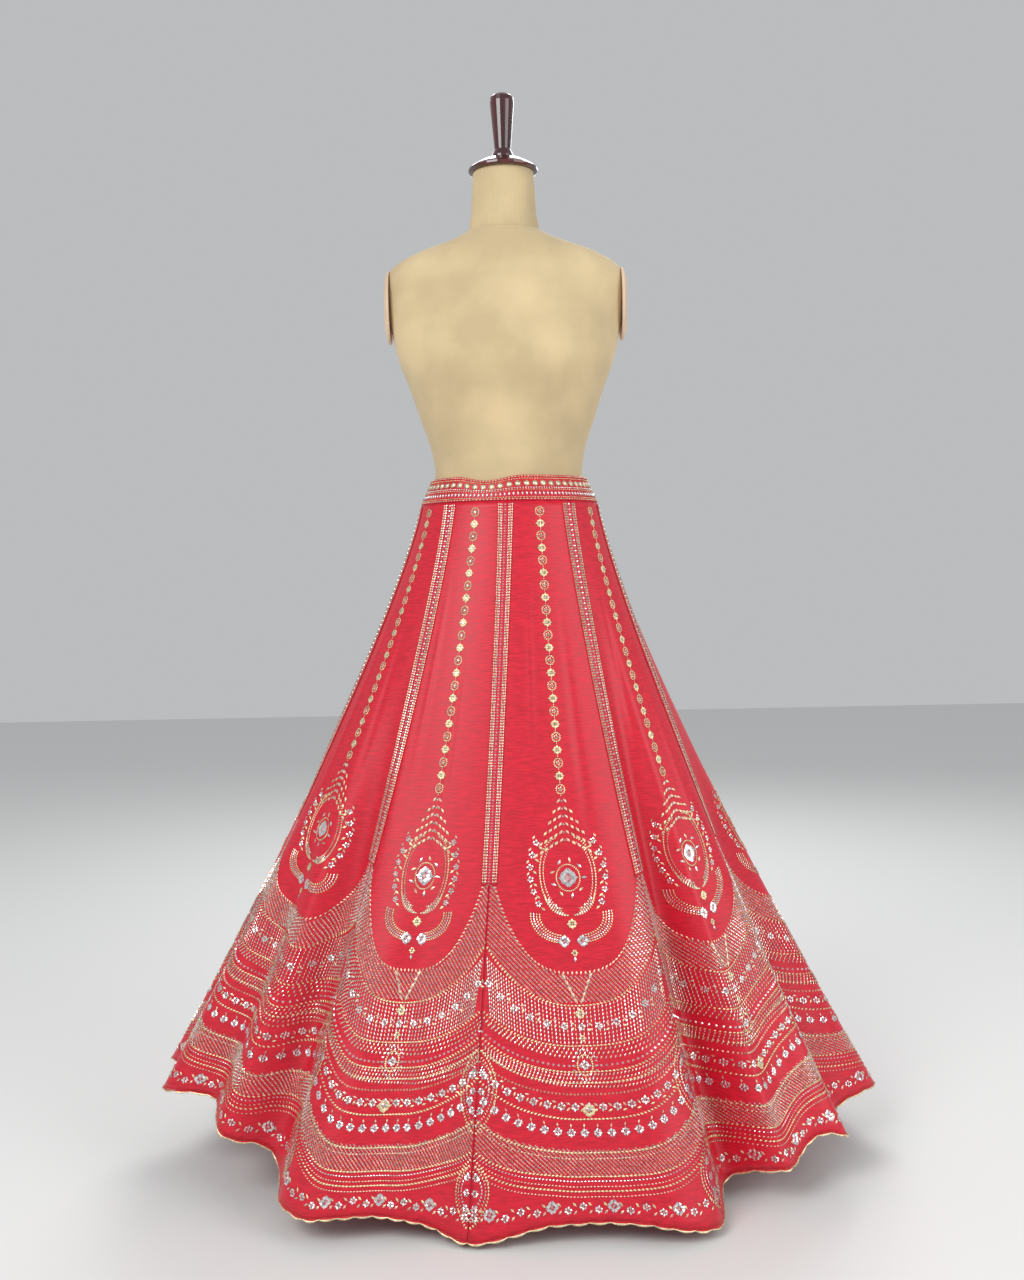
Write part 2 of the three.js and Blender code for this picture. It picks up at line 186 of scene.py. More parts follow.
def own_collection_object(name, mesh):
    piece = bpy.data.objects.new(name, mesh)
    bpy.context.scene.collection.objects.link(piece)
    return piece


def mesh_piece(name, points, faces, finishes, finish_of_face=None):
    """A smooth-shaded piece at the origin from points and faces of one length."""
    mesh = bpy.data.meshes.new(name)
    points = np.asarray(points, np.float32)
    faces = np.asarray(faces, np.int32)
    sides = faces.shape[1]
    mesh.vertices.add(len(points))
    mesh.vertices.foreach_set("co", points.ravel())
    mesh.loops.add(faces.size)
    mesh.loops.foreach_set("vertex_index", faces.ravel())
    mesh.polygons.add(len(faces))
    mesh.polygons.foreach_set("loop_start", np.arange(0, faces.size, sides, dtype=np.int32))
    mesh.polygons.foreach_set("use_smooth", np.ones(len(faces), bool))
    for finish in finishes:
        mesh.materials.append(finish)
    if finish_of_face is not None:
        mesh.polygons.foreach_set("material_index", finish_of_face.astype(np.int32))
    mesh.update(calc_edges=True)
    mesh.validate()
    return own_collection_object(name, mesh)


def wall(outer, inner, ring):
    """Points and quads of a closed wall between two grids; a ring joins its last column to its first."""
    rows, columns = outer.shape[:2]
    points = np.concatenate([outer.reshape(-1, 3), inner.reshape(-1, 3)])
    other = rows * columns
    spans = np.arange(columns if ring else columns - 1)
    after = (spans + 1) % columns
    row, column = np.meshgrid(np.arange(rows - 1), spans, indexing="ij")
    a = (row * columns + column).ravel()
    b = ((row + 1) * columns + column).ravel()
    c = ((row + 1) * columns + after[column]).ravel()
    d = (row * columns + after[column]).ravel()
    quads = [np.stack([a, b, c, d], 1), np.stack([a, d, c, b], 1) + other]
    last = (rows - 1) * columns
    quads.append(np.stack([spans, after, after + other, spans + other], 1))
    quads.append(np.stack([last + spans, last + spans + other, last + after + other, last + after], 1))
    if not ring:
        down = np.arange(rows - 1) * columns
        below = down + columns
        end = columns - 1
        quads.append(np.stack([down, down + other, below + other, below], 1))
        quads.append(np.stack([down + end, below + end, below + end + other, down + end + other], 1))
    return points, np.concatenate(quads)


# ---------------------------------------------------------------- finishes

def finish(name, colour, roughness, metallic=0.0, sheen=0.0, coat=0.0):
    """A new material with its nodes: (material, node tree, principled shader)."""
    material = bpy.data.materials.new(name)
    material.use_nodes = True
    tree = material.node_tree
    shader = tree.nodes["Principled BSDF"]
    shader.inputs["Base Color"].default_value = (*colour, 1)
    shader.inputs["Roughness"].default_value = roughness
    shader.inputs["Metallic"].default_value = metallic
    shader.inputs["Sheen Weight"].default_value = sheen
    shader.inputs["Coat Weight"].default_value = coat
    material.diffuse_color = (*colour, 1)
    return material, tree, shader


def noise(tree, scale, stretch, detail=3.0):
    """A noise over the piece's own metres, squeezed along each axis."""
    place = tree.nodes.new("ShaderNodeTexCoord")
    squeeze = tree.nodes.new("ShaderNodeMapping")
    squeeze.inputs["Scale"].default_value = stretch
    grain = tree.nodes.new("ShaderNodeTexNoise")
    grain.inputs["Scale"].default_value = scale
    grain.inputs["Detail"].default_value = detail
    tree.links.new(place.outputs["Object"], squeeze.inputs["Vector"])
    tree.links.new(squeeze.outputs["Vector"], grain.inputs["Vector"])
    return grain.outputs["Fac"]


def vary_colour(tree, shader, grain, dark, light, low=0.35, high=0.65):
    ramp = tree.nodes.new("ShaderNodeValToRGB")
    ramp.color_ramp.elements[0].position = low
    ramp.color_ramp.elements[0].color = (*dark, 1)
    ramp.color_ramp.elements[1].position = high
    ramp.color_ramp.elements[1].color = (*light, 1)
    tree.links.new(grain, ramp.inputs["Fac"])
    tree.links.new(ramp.outputs["Color"], shader.inputs["Base Color"])


def add_bump(tree, shader, grain, strength, distance):
    relief = tree.nodes.new("ShaderNodeBump")
    relief.inputs["Strength"].default_value = strength
    relief.inputs["Distance"].default_value = distance
    tree.links.new(grain, relief.inputs["Height"])
    tree.links.new(relief.outputs["Normal"], shader.inputs["Normal"])


def vary_roughness(tree, shader, grain, low, high):
    spread = tree.nodes.new("ShaderNodeMapRange")
    spread.inputs["To Min"].default_value = low
    spread.inputs["To Max"].default_value = high
    tree.links.new(grain, spread.inputs["Value"])
    tree.links.new(spread.outputs["Result"], shader.inputs["Roughness"])


def scaled(colour, share):
    return tuple(min(1.0, channel * share) for channel in colour)


def raw_silk(colour):
    """Crisp raw silk: slubs lie across the cloth and a fine weave breaks the sheen."""
    material, tree, shader = finish("raw_silk", colour, 0.42, sheen=0.35)
    slubs = noise(tree, 60, (1, 1, 9), 5)
    vary_colour(tree, shader, slubs, scaled(colour, 0.78), scaled(colour, 1.12))
    vary_roughness(tree, shader, slubs, 0.34, 0.56)
    add_bump(tree, shader, noise(tree, 420, (1, 1, 3), 2), 0.35, 0.0004)
    shader.inputs["Sheen Tint"].default_value = (1.0, 0.25, 0.3, 1)
    return material


def metal_thread(name, colour, roughness):
    material, tree, shader = finish(name, colour, roughness, metallic=0.82)
    tarnish = noise(tree, 260, (1, 1, 1), 4)
    vary_colour(tree, shader, tarnish, scaled(colour, 0.62), scaled(colour, 1.2))
    vary_roughness(tree, shader, tarnish, roughness * 0.7, roughness * 1.4)
    return material


def canvas_cloth(name, colour):
    material, tree, shader = finish(name, colour, 0.85, sheen=0.15)
    vary_colour(tree, shader, noise(tree, 9, (1, 1, 1), 4), scaled(colour, 0.84), scaled(colour, 1.08))
    add_bump(tree, shader, noise(tree, 900, (1, 1, 1), 1), 0.3, 0.0003)
    return material


def varnished_wood(colour):
    material, tree, shader = finish("varnished_wood", colour, 0.2, coat=0.6)
    vary_colour(tree, shader, noise(tree, 30, (1, 1, 0.15), 4), scaled(colour, 0.5), scaled(colour, 1.8))
    return material


def satin_iron():
    colour = (0.03, 0.03, 0.032)
    material, tree, shader = finish("satin_iron", colour, 0.42, metallic=0.4)
    vary_roughness(tree, shader, noise(tree, 40, (1, 1, 1), 3), 0.34, 0.55)
    return material


FINISHES = {}


def make_finishes(settings):
    FINISHES["stitch"] = [
        raw_silk(tuple(settings.silk_colour)),
        metal_thread("rose_gold_zari", tuple(settings.zari_colour), 0.34),
        metal_thread("silver_crystal", (0.93, 0.86, 0.88), 0.14),
        metal_thread("cream_zari_cord", tuple(settings.cord_colour), 0.42),
        metal_thread("pink_bead", (0.92, 0.48, 0.5), 0.3)]
    FINISHES["canvas"] = canvas_cloth("cotton_canvas", (0.62, 0.48, 0.27))
    FINISHES["shoulder"] = canvas_cloth("shoulder_canvas", (0.7, 0.52, 0.36))
    FINISHES["wood"] = varnished_wood((0.055, 0.008, 0.01))
    FINISHES["iron"] = satin_iron()


# ---------------------------------------------------------------- stitches

UNITS = {}


def unit_from_active(name):
    """Keeps the active object's triangles as a unit shape, one long each way, and removes the object."""
    bpy.ops.object.mode_set(mode="EDIT")
    bpy.ops.mesh.select_all(action="SELECT")
    bpy.ops.mesh.quads_convert_to_tris()
    bpy.ops.mesh.normals_make_consistent(inside=False)
    bpy.ops.object.mode_set(mode="OBJECT")
    shape = bpy.context.object
    mesh = shape.data
    points = np.array([vertex.co[:] for vertex in mesh.vertices])
    faces = np.array([face.vertices[:] for face in mesh.polygons])
    UNITS[name] = (points, faces)
    bpy.ops.object.delete()


def make_units():
    """A faceted bead for seeds, stems and leaves, and a cut stone with a flat top."""
    bpy.ops.object.select_all(action="DESELECT")
    bpy.ops.mesh.primitive_uv_sphere_add(segments=4, ring_count=2, radius=0.5)
    unit_from_active("bead")
    bpy.ops.object.select_all(action="DESELECT")
    bpy.ops.mesh.primitive_cone_add(vertices=6, radius1=0.5, radius2=0.22, depth=0.5)
    unit_from_active("stone")


class Needlework:
    """Gathers stitches on one panel in centimetres: x across from its middle, d down from the waist seam."""

    def __init__(self, number):
        self.middle = number + 0.5
        self.rows = {"bead": [], "stone": []}

    def put(self, unit, finish_index, x, d, turn=0.0, length=0.5, width=0.3, height=0.15, lift=0.0):
        columns = np.broadcast_arrays(*[np.atleast_1d(np.asarray(value, float)) for value in
                                        (x, d, turn, length, width, height, finish_index, lift)])
        self.rows[unit].append(np.stack(columns, 1))

    def thread(self, finish_index, x, d, width=0.22, step=0.5, height=0.16):
        """Stems laid end to end along a line."""
        x, d = np.asarray(x, float), np.asarray(d, float)
        run = np.concatenate([[0], np.cumsum(np.hypot(np.diff(x), np.diff(d)))])
        count = max(2, int(run[-1] / step) + 1)
        at = np.linspace(0, run[-1], count)
        px, pd = np.interp(at, run, x), np.interp(at, run, d)
        turn = np.arctan2(np.diff(pd), np.diff(px))
        self.put("bead", finish_index, (px[1:] + px[:-1]) / 2, (pd[1:] + pd[:-1]) / 2,
                 turn, run[-1] / (count - 1) * 1.25, width, height)

    def flower(self, x, d, radius, petals=6, petal=CRYSTAL, heart=GOLD, turn=0.0):
        for index in range(petals):
            angle = turn + 2 * math.pi * index / petals
            self.put("bead", petal, x + 0.58 * radius * np.cos(angle), d + 0.58 * radius * np.sin(angle),
                     angle, radius * 0.95, radius * 0.6, 0.2)
        self.put("stone", heart, x, d, 0, radius * 0.75, radius * 0.75, 0.42)

    def ring(self, finish_index, x, d, radius, tall=1.0, width=0.18):
        angle = np.linspace(0, 2 * math.pi, 25)
        self.thread(finish_index, x + radius * np.cos(angle), d + radius * tall * np.sin(angle), width, 0.3)

    def leaf(self, x, d, turn, length, finish_index=GOLD):
        self.put("bead", finish_index, x, d, turn, length, length * 0.45, 0.18)

    def piece(self, name):
        points, faces, finish_of_face = [], [], []
        total = 0
        for unit, rows in self.rows.items():
            if not rows:
                continue
            x, d, turn, length, width, height, colour, lift = np.concatenate(rows).T
            half = half_width_cm(d)
            place = self.middle + np.clip(x / half, -0.995, 0.995) / 2
            fall = row_fall(place, np.clip(d / LENGTH_CM, 0, 1))
            across, down, out = skirt_frame(place, fall)
            centre = skirt_point(place, fall) + out * (0.0006 + lift[:, None] * 0.01)
            along = across * np.cos(turn)[:, None] + down * np.sin(turn)[:, None]
            side = np.cross(out, along)
            shape, sides = UNITS[unit]
            size = np.stack([length, width, height], 1) * 0.01
            local = shape[None, :, :] * size[:, None, :]
            grid = (centre[:, None] + local[..., 0:1] * along[:, None] + local[..., 1:2] * side[:, None]
                    + local[..., 2:3] * out[:, None])
            count = len(shape)
            points.append(grid.reshape(-1, 3))
            shift = (np.arange(len(d)) * count + total)[:, None, None]
            faces.append((sides[None] + shift).reshape(-1, 3))
            finish_of_face.append(np.repeat(colour, len(sides)))
            total += count * len(d)
        piece = mesh_piece(name, np.concatenate(points), np.concatenate(faces), FINISHES["stitch"],
                           np.concatenate(finish_of_face))
        piece.data.polygons.foreach_set("use_smooth", np.zeros(len(piece.data.polygons), bool))
        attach(piece, BODY)
        return piece


def half_width_cm(d):
    """Half of a cut kali's width, in centimetres."""
    return 100 * (KALI_TOP + (KALI_HEM - KALI_TOP) * np.asarray(d) / LENGTH_CM) / 2


def arch(centre, seam, power=2.2):
    """A line that hangs lowest at the panel's middle: u from -1 to 1 gives its fall in centimetres."""
    return lambda u: centre - (centre - seam) * np.abs(u) ** power


def along_arch(line, spacing, reach=0.985):
    """Evenly spaced (x, d, turn) along an arch."""
    u = np.linspace(-reach, reach, 241)
    d = line(u)
    x = u * half_width_cm(d)
    run = np.concatenate([[0], np.cumsum(np.hypot(np.diff(x), np.diff(d)))])
    count = max(3, int(run[-1] / spacing) + 1)
    at = np.linspace(0, run[-1], count)
    px, pd = np.interp(at, run, x), np.interp(at, run, d)
    return px, pd, np.arctan2(np.gradient(pd), np.gradient(px))


def fill_net(work, top, bottom, pitch, size):
    """Sequins on a diamond lattice between two arches, with thread between them."""
    rows = np.arange(int(40 / pitch))
    start = top(0.98) - 1
    for row in rows:
        d0 = start + row * pitch * 0.5
        half = half_width_cm(d0)
        x = np.arange(-half, half, pitch) + (row % 2) * pitch / 2
        u = x / half
        keep = (np.abs(u) < 0.985) & (d0 > top(u) + size / 2) & (d0 < bottom(u) - size / 2)
        if keep.any():
            work.put("stone", CRYSTAL if row % 3 else GOLD, x[keep], d0, 0, size, size, 0.3)
            work.put("bead", GOLD, x[keep] + pitch / 4, d0 + pitch / 4, 0.8, pitch * 0.6, 0.13, 0.12)


def fill_stripes(work, top, bottom, spacing, slant, colours=(CRYSTAL, GOLD)):
    """Rows of pipe beads that run down from one arch to the next."""
    x, _, _ = along_arch(top, spacing)
    half = half_width_cm(top(0))
    for index, px in enumerate(x):
        u = np.clip(px / half, -0.98, 0.98)
        low, high = float(top(u)) + 0.15, float(bottom(u)) - 0.15
        if high - low < 0.35:
            continue
        count = max(1, round((high - low) / 0.55))
        d = low + (np.arange(count) + 0.5) * (high - low) / count
        work.put("bead", colours[index % len(colours)], px + (d - low) * slant, d,
                 math.pi / 2 - math.atan(slant), (high - low) / count * 1.05, 0.24, 0.2)


# ---------------------------------------------------------------- pieces

PANEL_ROWS = 110
PANEL_COLUMNS = 40
CLOTH = 0.002
SEAM_GAP_SHARE = 0.0012  # of a panel, left open on each side of a seam


def build_kali(number):
    rows = np.linspace(0, 1, PANEL_ROWS + 1)[:, None]
    columns = np.linspace(SEAM_GAP_SHARE, 1 - SEAM_GAP_SHARE, PANEL_COLUMNS + 1)[None, :]
    place = number + columns + 0 * rows
    fall = row_fall(place, rows)
    points, quads = wall(on_skirt(place, fall, 0), on_skirt(place, fall, -CLOTH), False)
    kali = mesh_piece(f"kali_{PANEL_NAMES[number]}", points, quads, FINISHES["stitch"][:1])
    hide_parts(f"panel_{PANEL_NAMES[number]}")
    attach(kali, BODY)


BAND_WIDTH_CM = 2.4
BAND_THICKNESS = 0.0011


def seam_band_place(number, offset_cm, d):
    """The place round the skirt that lies an offset from a seam."""
    return number + np.asarray(offset_cm) / half_width_cm(d) / 2


def build_seam_band(number):
    d = np.linspace(0.3, BAND_END * LENGTH_CM, 61)[:, None]
    offset = np.linspace(-BAND_WIDTH_CM / 2, BAND_WIDTH_CM / 2, 7)[None, :]
    place = seam_band_place(number, offset, d)
    fall = d / LENGTH_CM + 0 * offset
    points, quads = wall(on_skirt(place, fall, GAP + BAND_THICKNESS), on_skirt(place, fall, GAP), False)
    band = mesh_piece(f"band_{SEAM_NAMES[number]}", points, quads, FINISHES["stitch"][:1])
    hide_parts(f"seam_band_{SEAM_NAMES[number]}")
    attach(band, BODY)
    work = Needlework(number - 0.5)
    down = np.arange(0.6, BAND_END * LENGTH_CM - 0.3, 0.42)
    for side in (-1, 1):
        for place_cm, colour, width in ((1.05, GOLD, 0.28), (0.78, CREAM, 0.18), (0.56, CRYSTAL, 0.2)):
            work.put("bead", colour, side * place_cm, down, math.pi / 2, 0.46, width, 0.16, lift=0.15)
    middle = down[::2]
    work.put("stone", CRYSTAL, 0, middle, 0, 0.44, 0.44, 0.34, lift=0.15)
    work.put("bead", GOLD, 0, middle + 0.42, 0, 0.5, 0.16, 0.15, lift=0.15)
    work.piece(f"band_stitches_{SEAM_NAMES[number]}")


MEDALLION_COUNT = 23
MEDALLION_START = 1.7
MEDALLION_PITCH = 1.95


def build_medallions(number):
    work = Needlework(number)
    for index in range(MEDALLION_COUNT):
        d = MEDALLION_START + MEDALLION_PITCH * index
        if index % 2:
            work.flower(0, d, 0.78, 8, CREAM, CRYSTAL)
        else:
            work.ring(CREAM, 0, d, 0.66, 1.05, 0.26)
            work.flower(0, d, 0.46, 5, GOLD, CRYSTAL)
        work.put("bead", GOLD, 0, d + 0.97, math.pi / 2, 0.35, 0.16, 0.14)
    work.piece(f"medallions_{PANEL_NAMES[number]}")


BUTA_CENTRE = 57.5


def build_buta(number):
    """A large flower motif of leaf sprays round a cartouche, with two horns and paired flowers below."""
    work = Needlework(number)
    at = BUTA_CENTRE
    for row in range(6):
        d = at - 11.2 + row * 1.15
        for side in (-1, 1):
            for step in range(1 + row):
                x = side * (0.5 + 0.78 * step)
                work.leaf(x, d + 0.42 * step, -math.pi / 2 + side * 0.65, 0.95, CREAM if step % 2 else GOLD)
        work.put("stone", CRYSTAL, 0, d, 0, 0.5, 0.5, 0.4)
    edge = np.linspace(-2.35, 2.35, 27)
    for side in (-1, 1):
        for radius_x, radius_d, colour, width in ((4.1, 5.4, CREAM, 0.26), (3.6, 4.8, GOLD, 0.2)):
            x = side * radius_x * np.cos(edge / 2) * np.abs(np.cos(edge / 2.35)) ** 0.35
            work.thread(colour, x, at + radius_d * np.sin(edge / 1.5) - 0.4, width, 0.4)
        for index in range(6):
            d = at - 5.2 + index * 1.75
            x = side * (3.6 + 1.9 * math.sin(math.pi * (index + 0.8) / 7))
            work.flower(x, d, 0.55, 5, CRYSTAL, GOLD, index)
            work.leaf(x - side * 0.6, d + 0.75, side * 0.7, 0.9, CREAM)
            work.leaf(x + side * 0.3, d - 0.8, side * -1.0, 0.8)
        for layer in range(4):
            angle = np.linspace(0.15, 1.75, 20)
            radius = 3.5 + layer * 0.42
            x = side * (1.1 + radius * np.sin(angle))
            d = at + 5.4 + 0.8 * radius * np.cos(angle)
            work.thread((CREAM, GOLD, CRYSTAL, CREAM)[layer], x, d, 0.25, 0.36)
        for layer in range(5):
            angle = np.linspace(0, 1.45, 14)
            x = side * (0.35 + (3.3 - layer * 0.5) * np.sin(angle))
            work.thread((CREAM, CRYSTAL, GOLD, CRYSTAL, CREAM)[layer], x,
                        at + 5.4 - (3.4 - layer * 0.5) * (1 - np.cos(angle)), 0.26, 0.36)
        work.flower(side * 1.35, at + 9.0, 0.95, 9, CRYSTAL, PINK)
    work.flower(0, at, 1.5, 10, CRYSTAL, PINK)
    work.ring(CREAM, 0, at, 1.75, 1.1, 0.24)
    for index in range(9):
        angle = 2 * math.pi * index / 9
        colour = GOLD if index % 2 else CRYSTAL
        work.leaf(2.35 * math.cos(angle), at + 2.6 * math.sin(angle), angle, 1.0, colour)
    work.flower(0, at + 6.6, 0.8, 8, CREAM, CRYSTAL)
    work.flower(0, at + 10.7, 0.55, 6, CREAM, CRYSTAL)
    work.leaf(0, at + 11.6, math.pi / 2, 0.9, CRYSTAL)
    work.piece(f"buta_{PANEL_NAMES[number]}")


# arched cords of the border: fall at the middle, fall at the seam
CORDS = ((75.5, 66.5), (81.0, 75.5), (84.5, 79.0), (86.0, 80.6), (90.8, 84.6),
         (95.2, 89.8), (98.3, 93.6), (100.2, 95.2))

# rows of small beads beside the lowest cords: fall at the middle, fall at the seam, finish
BEAD_ROWS = ((96.0, 90.5, GOLD), (98.9, 94.0, CRYSTAL), (99.6, 94.6, GOLD), (100.9, 95.9, GOLD))
TEARDROP_FALL = 83.6


def build_border(number):
    work = Needlework(number)
    lines = [arch(centre, seam) for centre, seam in CORDS]
    top = arch(71.0, 55.5, 2.6)
    for line in lines:
        x, d, _ = along_arch(line, 0.5)
        work.thread(CREAM, x, d, 0.3, 0.5, 0.22)
    x, d, turn = along_arch(top, 0.62)
    work.put("bead", GOLD, x, d, turn + math.pi / 2, 0.7, 0.3, 0.2)
    fill_net(work, top, lines[0], 0.66, 0.36)
    fill_stripes(work, lines[0], lines[1], 0.56, 0.0)
    fill_stripes(work, lines[1], arch(83.0, 77.3), 0.62, 0.5, (CREAM, CRYSTAL))
    x, d, turn = along_arch(arch(83.7, 78.2), 0.7)
    work.put("stone", CRYSTAL, x, d, turn, 0.48, 0.48, 0.34)
    fill_stripes(work, arch(84.5, 79.0), arch(86.9, 81.6), 0.5, 0.55, (GOLD, CRYSTAL, GOLD))
    x, d, turn = along_arch(arch(87.5, 82.2), 0.5)
    work.put("stone", GOLD, x, d, turn, 0.4, 0.4, 0.28)
    fill_net(work, arch(94.6, 89.2), lines[6], 0.56, 0.32)
    for line, spacing, radius in ((arch(78.4, 71.0), 2.3, 0.62), (arch(89.2, 83.4), 1.85, 0.66)):
        x, d, turn = along_arch(line, spacing, 0.94)
        for index in range(len(x)):
            work.flower(x[index], d[index], radius, 6, CRYSTAL, GOLD, index)
            work.leaf(x[index] + spacing / 2, d[index] - 0.35, turn[index] - 0.6, 0.85)
            work.leaf(x[index] + spacing / 2, d[index] + 0.4, turn[index] + 0.6, 0.8, CREAM)
    x, d, turn = along_arch(arch(92.6, 86.6), 1.75, 0.93)
    for index in range(len(x)):
        work.flower(x[index], d[index], 0.66, 7, CRYSTAL, CRYSTAL, index)
        work.leaf(x[index], d[index] - 0.95, turn[index] + math.pi / 2, 0.7)
    for centre, seam, colour in BEAD_ROWS:
        x, d, turn = along_arch(arch(centre, seam), 0.45)
        work.put("bead", colour, x, d, turn, 0.42, 0.22, 0.18)
    hem_line = arch(102.3, 101.0)
    x, d, turn = along_arch(hem_line, 1.9, 0.96)
    for index in range(len(x)):
        big = index % 4 == 1
        work.flower(x[index], d[index] + 0.25 * (-1) ** index, 0.95 if big else 0.6, 8 if big else 6,
                    CRYSTAL, PINK if big else GOLD, index)
        work.leaf(x[index] + 0.95, d[index] + 0.5, turn[index] + 0.8, 0.85)
        work.leaf(x[index] + 0.9, d[index] - 0.5, turn[index] - 0.8, 0.85, CREAM)
    build_border_centre(work)
    build_ogees(work)
    work.piece(f"border_{PANEL_NAMES[number]}")


def build_border_centre(work):
    """The leaf tip, small flowers and teardrop medallion on the panel's middle line."""
    for row in range(5):
        for side in (-1, 1):
            work.leaf(side * (1.9 - row * 0.36), 71.4 + row * 0.85, math.pi / 2 - side * 0.5, 1.2, GOLD)
    work.flower(0, 76.6, 0.8, 7, CREAM, CRYSTAL)
    work.flower(0, 80.0, 0.6, 6, CREAM, CRYSTAL)
    work.ring(CREAM, 0, TEARDROP_FALL, 1.05, 1.35, 0.3)
    for index in range(20):
        angle = 2 * math.pi * index / 20
        x, d = 1.6 * math.cos(angle), TEARDROP_FALL + 2.05 * math.sin(angle)
        work.put("bead", CRYSTAL, x, d, angle, 0.6, 0.24, 0.24)
    work.flower(0, TEARDROP_FALL, 0.75, 7, CRYSTAL, GOLD)
    work.flower(0, 89.6, 1.05, 9, CREAM, CRYSTAL)


def build_ogees(work):
    """Half of each seam's two pointed motifs lies on the panel at either side."""
    for centre, half_tall, half_wide in ((86.2, 5.4, 2.5), (98.6, 4.0, 2.2)):
        share = np.linspace(-1, 1, 25)
        for side in (-1, 1):
            seam = side * half_width_cm(centre + share * half_tall) * 0.99
            for scale, colour, width in ((1.0, CREAM, 0.3), (0.82, GOLD, 0.24), (0.6, CRYSTAL, 0.26)):
                wide = half_wide * scale * np.cos(share * math.pi / 2) ** 0.8
                work.thread(colour, seam - side * wide, centre + share * half_tall * scale, width, 0.4)
            for step in (-0.45, 0.0, 0.45):
                d = centre + step * half_tall
                x = side * (float(half_width_cm(d)) - 0.65)
                work.flower(x, d, 0.55, 6, CRYSTAL, GOLD)


SCALLOP_CM = 2.6
SCALLOP_ROUNDNESS = 0.7
HEM_COLUMNS = 8 * 72

# shares of the fall: where a scallop starts, its base, its least depth, what its lobe adds, its cord
SCALLOP_START = 0.0003
SCALLOP_BASE = 0.0005
SCALLOP_LEAST = 0.0012
SCALLOP_LOBE = 0.0036
SCALLOP_CORD = 0.0012

# how far a scallop's face and back stand out at its four rows, in metres
SCALLOP_FACE = (0.0, 0.0004, 0.0016, 0.0004)
SCALLOP_BACK = (-0.002, -0.002, -0.0032, -0.0022)


def build_hem():
    """A corded scalloped edge along the hem: a strip of silk with a cream cord below it."""
    place = np.arange(HEM_COLUMNS) * 8 / HEM_COLUMNS
    count = round(KALI_HEM * 100 / SCALLOP_CM)
    lobe = np.abs(np.sin(np.pi * np.mod(place, 1) * count)) ** SCALLOP_ROUNDNESS
    lower = row_fall(place, np.ones(HEM_COLUMNS))
    edge = lower + SCALLOP_BASE + (SCALLOP_LEAST + SCALLOP_LOBE * lobe)
    falls = (lower + SCALLOP_START, (lower + edge) / 2, edge - SCALLOP_CORD, edge)
    outer = np.stack([on_skirt(place, fall, out) for fall, out in zip(falls, SCALLOP_FACE)])
    inner = np.stack([on_skirt(place, fall, out) for fall, out in zip(falls, SCALLOP_BACK)])
    points, quads = wall(outer, inner, True)
    colours = np.full(len(quads), CREAM)
    colours[:HEM_COLUMNS] = SILK
    hem = mesh_piece("hem_scallops", points, quads, FINISHES["stitch"], colours)
    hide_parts("hem_piping")
    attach(hem, BODY)


def waistband_point(turn, rise, out):
    turn, rise = np.broadcast_arrays(turn, rise)
    dip = WAISTBAND_DIP * rise * bump(wrapped(turn - WAISTBAND_DIP_AT, 2 * np.pi) / WAISTBAND_DIP_HALF_WIDTH)
    width = WAIST_HALF[0] + (WAISTBAND_TOP_HALF[0] - WAIST_HALF[0]) * rise + out
    depth = WAIST_HALF[1] + (WAISTBAND_TOP_HALF[1] - WAIST_HALF[1]) * rise + out
    height = WAIST_SEAM_HEIGHT + GAP + WAISTBAND_HEIGHT * rise - dip
    return np.stack([width * np.sin(turn), -depth * np.cos(turn), height + 0 * width], -1)


WAISTBAND_COLUMNS = 192
WAISTBAND_FACE = 0.0004
WAISTBAND_BACK = -0.0026
BEAD_ROW_LENGTH = 0.78
EDGE_BEAD = (0.0055, 0.0026, 0.0022)
CORD_BEAD = (0.0042, 0.0018, 0.002)

# rows of the embroidery: rise, pitch in metres, (length across, height up, thickness), unit, finish
WAISTBAND_ROWS = (
    (0.95, 0.005, EDGE_BEAD, "bead", GOLD),
    (0.86, 0.004, CORD_BEAD, "bead", CREAM),
    (0.68, 0.013, (0.0085, 0.0085, 0.004), "stone", CRYSTAL),
    (0.68, 0.013, (0.0115, 0.0115, 0.002), "stone", CREAM),
    (0.5, 0.004, (0.0036, 0.0026, 0.0024), "bead", CRYSTAL),
    (0.43, 0.004, CORD_BEAD, "bead", CREAM),
    (0.28, 0.0062, (0.0042, 0.0082, 0.0034), "bead", CRYSTAL),
    (0.13, 0.004, CORD_BEAD, "bead", CREAM),
    (0.06, 0.005, EDGE_BEAD, "bead", GOLD))


